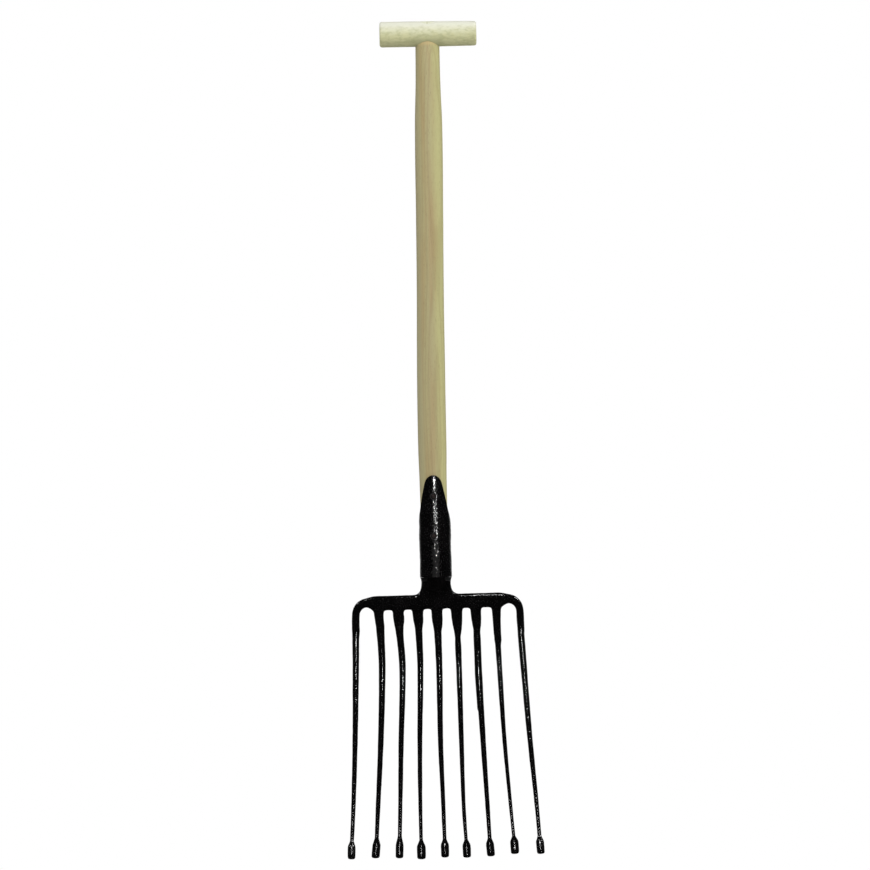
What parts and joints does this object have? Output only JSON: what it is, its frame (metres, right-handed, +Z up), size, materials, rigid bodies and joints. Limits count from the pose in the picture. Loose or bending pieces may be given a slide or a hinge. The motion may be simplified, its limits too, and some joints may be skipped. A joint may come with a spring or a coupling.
{
  "type": "potato fork",
  "caption": "Potato fork with a turned wooden shaft, a wooden T grip and a broad black forged head of long curved tines with ball tips.",
  "frame": {"origin": "on the shaft's axis, at the underside of the T grip, which hangs on a pair of pegs", "axes": "+Z up the shaft to the grip, +X to the right along the grip and the crossbar, seen from the front; -Y to the front, the hollow side of the tines, where the socket's tongue is"},
  "size_m": [0.2828, 0.0733, 1.2012],
  "materials": {
    "shaft_wood": "matte, bare or lightly oiled",
    "grip_wood": "matte, paler than the shaft",
    "wedge_wood": "matte end grain",
    "black_paint": "gloss black paint over forged steel",
    "nail_steel": "dull brownish steel"
  },
  "bodies": {
    "root": {"shaft": "shaft_wood", "grip": "grip_wood", "grip_wedge": "wedge_wood", "socket": "black_paint", "upper_nail": "nail_steel", "lower_nail": "nail_steel", "crossbar": "black_paint", "tine_1": "black_paint", "tine_2": "black_paint", "tine_3": "black_paint", "tine_4": "black_paint", "tine_5": "black_paint", "tine_6": "black_paint", "tine_7": "black_paint", "tine_8": "black_paint", "tine_9": "black_paint"}
  },
  "joints": []
}
